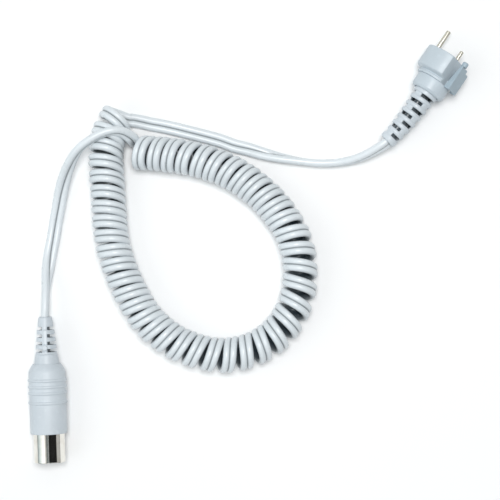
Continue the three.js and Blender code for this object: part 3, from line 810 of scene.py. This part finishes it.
def keyed_circle(inset):
    """The shell's round outline with its key channel, `inset` inside the outside."""
    radius = SHELL["radius"] - inset
    half_mouth = math.asin((KEY["mouth"] / 2 + inset * KEY["spread"]) / radius)
    turns = np.linspace(half_mouth, 2 * math.pi - half_mouth, KEYED_ARC_POINTS)
    corners = [(-radius * math.sin(t), radius * math.cos(t), 0) for t in turns]
    corners[0], corners[-1] = (*corners[0][:2], KEY["lip"]), (*corners[-1][:2], KEY["lip"])
    floor, half_floor = SHELL["radius"] - KEY["depth"] - inset, KEY["floor"] / 2 + inset * KEY["spread"]
    corners += [(half_floor, floor, KEY["fillet"]), (-half_floor, floor, KEY["fillet"])]
    turn = math.radians(KEY["turn"])
    about = np.array([[math.cos(turn), math.sin(turn)], [-math.sin(turn), math.cos(turn)]])
    return filleted(corners, closed=True) @ about


def round_plug_shell():
    wall, mouth = SHELL["wall"], SHELL["mouth"]
    half = [(0, SHELL["start"]), (0, mouth - 0.3), (0, mouth - 0.25), (0.08, mouth - 0.07)]
    stations = [*half, (wall / 2, mouth), *((wall - inset, y) for inset, y in reversed(half))]
    rings = [ring_at(keyed_circle(inset), y) for inset, y in stations]
    return new_object("round_shell", lofted(rings, close_rows=True), crease=40)


def pin_place(turn):
    angle = math.radians(90 + KEY["turn"] + turn)
    return PIN_CIRCLE / 2 * math.cos(angle), PIN_CIRCLE / 2 * math.sin(angle)


def round_plug_insulator():
    inset, face, edge = SHELL["wall"] + INSULATOR["gap"], ROUND_FACE_AT, INSULATOR["edge"]
    stations = [(0, INSULATOR["start"]), (0, face - edge), (0.3 * edge, face - 0.3 * edge), (edge, face)]
    rings = [ring_at(keyed_circle(inset + more), y) for more, y in stations]
    made = new_object("round_insulator", lofted(rings))
    floor, radius, top = SINK["floor"], SINK["radius"], SINK["top"]
    sink = lathe([(0, floor), (radius, floor), (radius, face - 0.35), (SINK["mouth"], top), (0, top)], 48)
    for turn in PIN_TURNS:
        x, z = pin_place(turn)
        cut(made, [moved(sink, (x, 0, z))])
    remeshed(made, voxel=0.1, smoothing=2)
    return made


def round_plug_pin(number, turn):
    x, z = pin_place(turn)
    profile = filleted([
        (0, 47, 0), (0.58, 47, 0.1), (0.58, 49, 0), (0.725, 49.2, 0.1), (0.725, 60.3, 0.7), (0, 60.3, 0),
    ])
    return new_object(f"round_pin_{number}", moved(lathe(profile, 64), (x, 0, z)), crease=50)


def make_round_plug(plastic, flex, nickel, contact, insulator):
    place = round_plug_place()
    finished(round_plug_boot(), place, plastic, ROOT, "plug_plastic", "round_plug_boot")
    finished(round_plug_sleeve(), place, plastic, ROOT, "plug_plastic", "round_plug_sleeve")
    finished(round_plug_shell(), place, nickel, ROOT, "nickel_shell", "round_plug_shell")
    finished(round_plug_insulator(), place, insulator, ROOT, "insulator_black", "round_plug_insulator")
    for number, turn in enumerate(PIN_TURNS, 1):
        pin = round_plug_pin(number, turn)
        finished(pin, place, contact, ROOT, "contact_metal", f"round_plug_pin_{number}")
    line = straight_line(ROUND_TAIL["start"], ROUND_TAIL["end"], ROUND_TAIL["rings"])
    tail = swept_flex("round_flex_tail", line, np.tile(UP, (len(line), 1)), painted_boot_shade)
    finished(tail, place, flex, ROOT, "flex_pvc", "round_plug_flex_tail")


# ------------------------ two-pin plug

# how far the head is rolled about its axis, in degrees
ROLL = 33
HEAD = {
    "radius": 10.3, "ring": 8.4, "start": 6, "groove": 7.5, "shoulder": 8.5, "end": 17.8,
    "flat": 6.2, "corner_flat": 7.6, "bore": 5, "bore_end": 9.4, "pins_from": 14, "pin_room": 0.12,
}
# the tongue on the head's flat that holds the pivot pin, and the room inside for the contacts' rears
TONGUE = {"start": 6.4, "end": 8.8, "out": 9.2, "half_height": 1.3}
PIN_ROOM = {"half_height": 2.2, "half_width": 7.4, "start": 9.2, "end": 14.2}
COLLAR = {
    "radius": 7.45, "end": 5.98, "neck": 5.6, "front_neck": 5.2,
    "groove": 6.4, "groove_start": 1.6, "groove_end": 3.6,
}
# each contact pin's place across the head, radius and tip, and the thin rear that both share
LONG_PIN = (-7.6, 1.05, 27.75)
SHORT_PIN = (3.4, 0.9, 22.7)
PIN_REAR = {"radius": 0.7, "start": 9.8, "end": 12.4}
PIVOT = {"x": 7.9, "y": 7.6, "radius": 0.7, "room": 0.15, "low": -6, "high": 2.4}
LATCH = {
    "outer": 9.9, "rear_inner": 7.2, "front_inner": 8.7, "rear": 5.4, "front": 16.8, "step": 15.4,
    "top": 3.2, "step_height": -1.9, "bottom": -4.5,
    "collar_room": 0.35, "rear_clear": 6.25, "hole_high": 2.7,
}
# what is hollowed out of the lever: how far out, and the rooms of the tongue and of the spring
LATCH_SKIN = 9.5
TONGUE_ROOM = {"low": -1.6, "high": 1.6, "end": 9.3}
SPRING_ROOM = {"low": -3.4, "high": -1, "end": 10.4}
NUB = {"x": 9.1, "z": 1.5, "radius": 1.3, "start": 16.85, "end": 19}
BOOT = {
    "length": 27, "bore": 3.3, "neck": 5.3, "shoulder": 5.1, "end": 3.65, "taper_start": 4,
    "taper_power": 1.15, "flange": 6.1, "flange_start": 1.9, "flange_end": 3.3,
    "first_slot": 2.4, "slot_pitch": 3.5, "slots": 7, "slot_width": 1.45, "notch": 0.22,
    "bridge": 3.2, "bridge_turns": (40, -42),
}
# the boot's bent axis, from the head backwards, as the three points of a quadratic curve
BOOT_BEND = np.array([(0, 0, 0), (0, -16.4, 0), (-2.35, -26.2, -0.9)])
BOOT_BEND_STEPS = 200
BENT_TAIL = {"end": 3.2, "rings": 40}
# further out than anything in the plug
REACH = 14


def pivot_hole(high=PIVOT["high"]):
    hole = rod(PIVOT["radius"] + PIVOT["room"], PIVOT["low"], high)
    return moved(turned_to(hole, "X", 90), (PIVOT["x"], PIVOT["y"], 0))


def two_pin_head():
    radius, ring, start, end = HEAD["radius"], HEAD["ring"], HEAD["start"], HEAD["end"]
    groove, shoulder = HEAD["groove"], HEAD["shoulder"]
    body = lathe(filleted([
        (0, start, 0), (ring, start, 0.12), (ring, groove - 0.45, 0.3), (ring - 0.75, groove, 0.35),
        (radius - 0.35, shoulder, 0.1), (radius, shoulder + 0.45, 0.3), (radius, end, 0.45), (0, end, 0),
    ]), 192)
    made = new_object("two_pin_shell", body)
    side, corner = (
        box((HEAD[flat], start - 1, -REACH), (REACH, end + 1, REACH)) for flat in ("flat", "corner_flat")
    )
    cut(made, [side, turned_to(corner, "Y", ROLL)])
    tongue_start = (HEAD["flat"] - 1, TONGUE["start"], -TONGUE["half_height"])
    tongue_end = (TONGUE["out"], TONGUE["end"], TONGUE["half_height"])
    combined(made, [box(tongue_start, tongue_end)], "UNION")
    half_height = PIN_ROOM["half_height"]
    room = extruded(slot_outline(half_height, PIN_ROOM["half_width"]), PIN_ROOM["start"], PIN_ROOM["end"])
    room = moved(turned_to(room, "Y", 90), (-half_height, 0, 0))
    cutters = [rod(HEAD["bore"], start - 1, HEAD["bore_end"]), room, pivot_hole()]
    for across, size, _ in (LONG_PIN, SHORT_PIN):
        hole = rod(size + HEAD["pin_room"], HEAD["pins_from"], end + 1)
        cutters.append(moved(hole, (across, 0, 0)))
    cut(made, cutters)
    remeshed(made, voxel=0.12, smoothing=3)
    return made


def latch_lever():
    outer, front_inner = LATCH["outer"], LATCH["front_inner"]

    def plan(end):
        return filleted([
            (LATCH["rear_inner"], LATCH["rear"], 0.2), (outer, LATCH["rear"], 0.5),
            (outer, end, 0.6), (front_inner, end, 0.25),
        ], closed=True)

    upper = slab(plan(LATCH["front"]), LATCH["step_height"], LATCH["top"])
    lower = slab(plan(LATCH["step"]), LATCH["bottom"], LATCH["step_height"] + 0.3)
    rooms = [
        box((0, 0, room["low"]), (LATCH_SKIN, room["end"], room["high"]))
        for room in (TONGUE_ROOM, SPRING_ROOM)
    ]
    collar = rod(COLLAR["radius"] + LATCH["collar_room"], 0, LATCH["rear_clear"], 128)
    return moulded("lever", [upper, lower], [collar, *rooms, pivot_hole(LATCH["hole_high"])])


def latch_nub():
    radius, start, end = NUB["radius"], NUB["start"], NUB["end"]
    profile = filleted([(0, start, 0), (radius, start, 0), (radius, end, 0.75), (0, end, 0)])
    return new_object("nub", moved(lathe(profile, 64), (NUB["x"], 0, NUB["z"])), crease=60)


def contact_pin(name, across, radius, tip):
    rear, start, end = PIN_REAR["radius"], PIN_REAR["start"], PIN_REAR["end"]
    profile = filleted([
        (0, start, 0), (rear, start, 0.1), (rear, end, 0), (radius, end + 0.2, 0.1),
        (radius, tip, radius * 0.85), (0, tip, 0),
    ], arc_points=11)
    return new_object(name, moved(lathe(profile, 64), (across, 0, 0)), crease=50)


def two_pin_collar():
    outer, end, neck, front_neck = COLLAR["radius"], COLLAR["end"], COLLAR["neck"], COLLAR["front_neck"]
    groove, groove_start, groove_end = COLLAR["groove"], COLLAR["groove_start"], COLLAR["groove_end"]
    profile = filleted([
        (neck, 0, 0.15), (outer - 0.75, 0, 0.5), (outer, 1.1, 0.5), (outer, end, 0.08),
        (front_neck, end, 0.1), (front_neck, groove_end, 0.1), (groove, groove_end, 0.1),
        (groove, groove_start, 0.1), (neck, groove_start, 0.1),
    ], closed=True)
    return new_object("collar", lathe(profile, 192))


def boot_radius(back):
    """The boot's outside radius by how far back from the head it is."""
    start, shoulder = BOOT["taper_start"], BOOT["shoulder"]
    share = np.clip(back - start, 0, None) / (BOOT["length"] - start)
    return shoulder - (shoulder - BOOT["end"]) * share ** BOOT["taper_power"]


def boot_bend(points):
    """Moves points made along the straight axis y < 0 onto the boot's bent axis."""
    t = np.linspace(0, 1, BOOT_BEND_STEPS)[:, None]
    a, b, c = BOOT_BEND
    line = (1 - t) ** 2 * a + 2 * t * (1 - t) * b + t**2 * c
    along = lengths_along(line)
    back = np.clip(-points[:, 1], 0, None)
    share = np.clip(back / BOOT["length"], 0, 1) * along[-1]
    at = np.stack([np.interp(share, along, column) for column in line.T], axis=1)
    tangent = unit(np.gradient(line, axis=0))
    tangent = unit(np.stack([np.interp(share, along, column) for column in tangent.T], axis=1))
    side = unit(np.cross(UP, tangent))
    rise = np.cross(tangent, side)
    beyond = np.clip(back - BOOT["length"], 0, None)[:, None]
    bent = at + side * points[:, :1] + rise * points[:, 2:] + tangent * beyond
    return np.where(back[:, None] > 0, bent, points)


def two_pin_boot():
    length, neck, notch, half_slot = BOOT["length"], BOOT["neck"], BOOT["notch"], BOOT["slot_width"] / 2
    flange, flange_start, flange_end = BOOT["flange"], BOOT["flange_start"], BOOT["flange_end"]
    slots = [BOOT["first_slot"] + BOOT["slot_pitch"] * i for i in range(BOOT["slots"])]
    core = lathe(filleted([
        (0, -length, 0), (BOOT["end"] - notch, -length, 0.3), (boot_radius(0) - notch, 0, 0),
        (neck, 0, 0.1), (neck, flange_start, 0.1), (flange, flange_start, 0.1),
        (flange, flange_end, 0.1), (0, flange_end, 0),
    ]), 96)
    rear = half_slot - slots[0]
    front_ring = [(0, rear, 0), (neck, rear, 0.35), (neck, 1.8, 0.1), (0, 1.8, 0)]
    rings = [lathe(filleted(front_ring), 96)]
    for near, far in zip(slots, [*slots[1:], length + half_slot]):
        low, high = half_slot - far, -half_slot - near
        front, back = boot_radius(-high), boot_radius(-low)
        rings.append(lathe(filleted([(0, low, 0), (back, low, 0.8), (front, high, 0.8), (0, high, 0)]), 96))
    cutters = [rod(BOOT["bore"], -REACH * 2.5, REACH)]
    for i, slot in enumerate(slots):
        turn = BOOT["bridge_turns"][i % 2]
        cutters += slot_cutters(-slot - half_slot, half_slot - slot, BOOT["bridge"], turn)
    made = moulded("bent_boot", [core, *rings], cutters)

    # the boot is painted in shade by how deep a point lies below its outside, in the slots
    def depth(p):
        return boot_radius(-p[:, 1]) - np.hypot(p[:, 0], p[:, 2])

    return reshaped(paint_shade(made, depth, near=0.55, far=1.2), boot_bend)


def make_two_pin_plug(plastic, head_plastic, shaded_head_plastic, flex, contact):
    level, rolled = two_pin_places()
    finished(two_pin_collar(), level, head_plastic, ROOT, "head_plastic", "two_pin_collar")
    finished(two_pin_boot(), level, plastic, ROOT, "plug_plastic", "two_pin_boot")
    finished(two_pin_head(), rolled, head_plastic, ROOT, "head_plastic", "two_pin_head")
    for kind, pin in (("long", LONG_PIN), ("short", SHORT_PIN)):
        made = contact_pin(f"{kind}_contact", *pin)
        finished(made, rolled, contact, ROOT, "contact_metal", f"two_pin_contact_{kind}")
    finished(latch_lever(), rolled, shaded_head_plastic, LATCH_BODY, "head_plastic", "latch_lever")
    finished(latch_nub(), rolled, shaded_head_plastic, LATCH_BODY, "head_plastic", "latch_nub")
    line = straight_line(1 - BOOT["length"], BENT_TAIL["end"], BENT_TAIL["rings"])
    tilt = math.radians(ROLL)
    wide = np.tile([-math.sin(tilt), 0, math.cos(tilt)], (len(line), 1))
    tail = reshaped(swept_flex("bent_flex_tail", line, wide, painted_boot_shade), boot_bend)
    finished(tail, level, flex, ROOT, "flex_pvc", "two_pin_flex_tail")


# ------------------------ pieces kept from the frame


def dress(material, slot, *nodes):
    for name in nodes:
        node = frame["nodes"][name]
        node.data.materials.clear()
        node.data.materials.append(material)


# ------------------------ light and floor

# in metres, as the floor and the light aren't placed
FLOOR_SIDE = 6.0
FLOOR_THICKNESS = 0.03
OVERHEAD = {"place": (0.02, 0.16, 1.3), "aim": (0, 0, 0), "size": (0.42, 0.42), "watts": 11.0}


def make_floor():
    half = FLOOR_SIDE / 2
    square = [(-half, -half), (half, -half), (half, half), (-half, half)]
    floor = new_object("table_top", slab(square, -FLOOR_THICKNESS, 0))
    floor.data.materials.append(floor_material())


def area_light(name, place, aim, size, watts):
    data = bpy.data.lights.new(name, "AREA")
    data.shape = "RECTANGLE"
    data.size, data.size_y = size
    data.energy = watts
    light = bpy.data.objects.new(name, data)
    light.location = place
    light.rotation_euler = (Vector(aim) - Vector(place)).to_track_quat("-Z", "Y").to_euler()
    bpy.context.scene.collection.objects.link(light)


def direction(azimuth, polar):
    """Unit vector towards an azimuth from +X and a polar angle from straight up, in degrees."""
    a, p = math.radians(azimuth), math.radians(polar)
    return math.cos(a) * math.sin(p), math.sin(a) * math.sin(p), math.cos(p)


# the studio's brightness by the height of the direction, and what stands in it for metal to
# reflect: one dark flag and one bright panel, as ((azimuth, polar), radius, soft edge, strength)
SKY = [
    (0.0, (0.11, 0.135, 0.145)), (0.35, (0.24, 0.275, 0.29)),
    (0.7, (0.40, 0.415, 0.42)), (1.0, (0.5, 0.5, 0.5)),
]
PANELS = [((-11, 38), 14, 3, 0.03), ((190, 57), 30, 6, 3.2)]


def make_world():
    world = bpy.data.worlds.new("studio")
    world.use_nodes = True
    nodes, links = world.node_tree.nodes, world.node_tree.links
    place = nodes.new("ShaderNodeTexCoord").outputs["Generated"]
    height = nodes.new("ShaderNodeSeparateXYZ")
    links.new(place, height.inputs[0])
    ramp = nodes.new("ShaderNodeValToRGB")
    fill_ramp(ramp, SKY)
    links.new(height.outputs["Z"], ramp.inputs["Fac"])
    strength = None
    for (azimuth, polar), radius, soft, inside in PANELS:
        dot = nodes.new("ShaderNodeVectorMath")
        dot.operation = "DOT_PRODUCT"
        dot.inputs[1].default_value = direction(azimuth, polar)
        links.new(place, dot.inputs[0])
        edge = nodes.new("ShaderNodeMapRange")
        edge.interpolation_type = "SMOOTHSTEP"
        edge.inputs["From Min"].default_value = math.cos(math.radians(radius + soft))
        edge.inputs["From Max"].default_value = math.cos(math.radians(radius - soft))
        edge.inputs["To Min"].default_value = 1.0
        edge.inputs["To Max"].default_value = inside
        links.new(dot.outputs["Value"], edge.inputs["Value"])
        if strength is None:
            strength = edge.outputs["Result"]
        else:
            both = nodes.new("ShaderNodeMath")
            both.operation = "MULTIPLY"
            links.new(strength, both.inputs[0])
            links.new(edge.outputs["Result"], both.inputs[1])
            strength = both.outputs[0]
    links.new(ramp.outputs["Color"], nodes["Background"].inputs["Color"])
    links.new(strength, nodes["Background"].inputs["Strength"])
    bpy.context.scene.world = world


def make_light():
    make_world()
    area_light("overhead", **OVERHEAD)
    bpy.context.scene.view_settings.view_transform = "Standard"


# ------------------------ everything

make_camera()
flex_pvc = flex_material()
make_cord(flex_pvc)
plug_plastic = moulding_material("plug_plastic", PLUG_COLOUR)
head_plastic = moulding_material("head_plastic", HEAD_COLOUR)
# the head's plastic painted darker for the lever's shade
shaded_head_plastic = moulding_material("shaded_head_plastic", LEVER_SHADED_COLOUR)
insulator_black = moulding_material("insulator_black", (0.025, 0.026, 0.03), rough=(0.4, 0.6), grain=0.02)
nickel_shell = metal_material(
    "nickel_shell", colour=(0.86, 0.84, 0.78), tarnish=(0.62, 0.58, 0.5), rough=(0.06, 0.14),
)
contact_metal = metal_material(
    "contact_metal", colour=(0.78, 0.75, 0.66), tarnish=(0.6, 0.56, 0.46), rough=(0.14, 0.24), metallic=0.7,
)
inner_steel = metal_material(
    "inner_steel", colour=(0.62, 0.62, 0.6), tarnish=(0.4, 0.38, 0.35), rough=(0.25, 0.45),
)
crimp_copper = metal_material(
    "crimp_copper", colour=(0.72, 0.4, 0.2), tarnish=(0.35, 0.18, 0.1), rough=(0.25, 0.45),
)
make_round_plug(plug_plastic, flex_pvc, nickel_shell, contact_metal, insulator_black)
make_two_pin_plug(plug_plastic, head_plastic, shaded_head_plastic, flex_pvc, contact_metal)
dress(inner_steel, "inner_steel", "round_plug_half_screen_top", "round_plug_half_screen_bottom",
      "round_plug_cord_clamp", "latch_pivot_pin", "latch_spring", "two_pin_cord_grip")
dress(crimp_copper, "crimp_copper", "two_pin_crimp_1", "two_pin_crimp_2")
dress(core_material("core_red", (0.5, 0.05, 0.04)), "core_red", "round_plug_core_1", "two_pin_core_1")
dress(core_material("core_white", (0.8, 0.78, 0.74)), "core_white", "round_plug_core_2", "two_pin_core_2")
make_floor()
make_light()
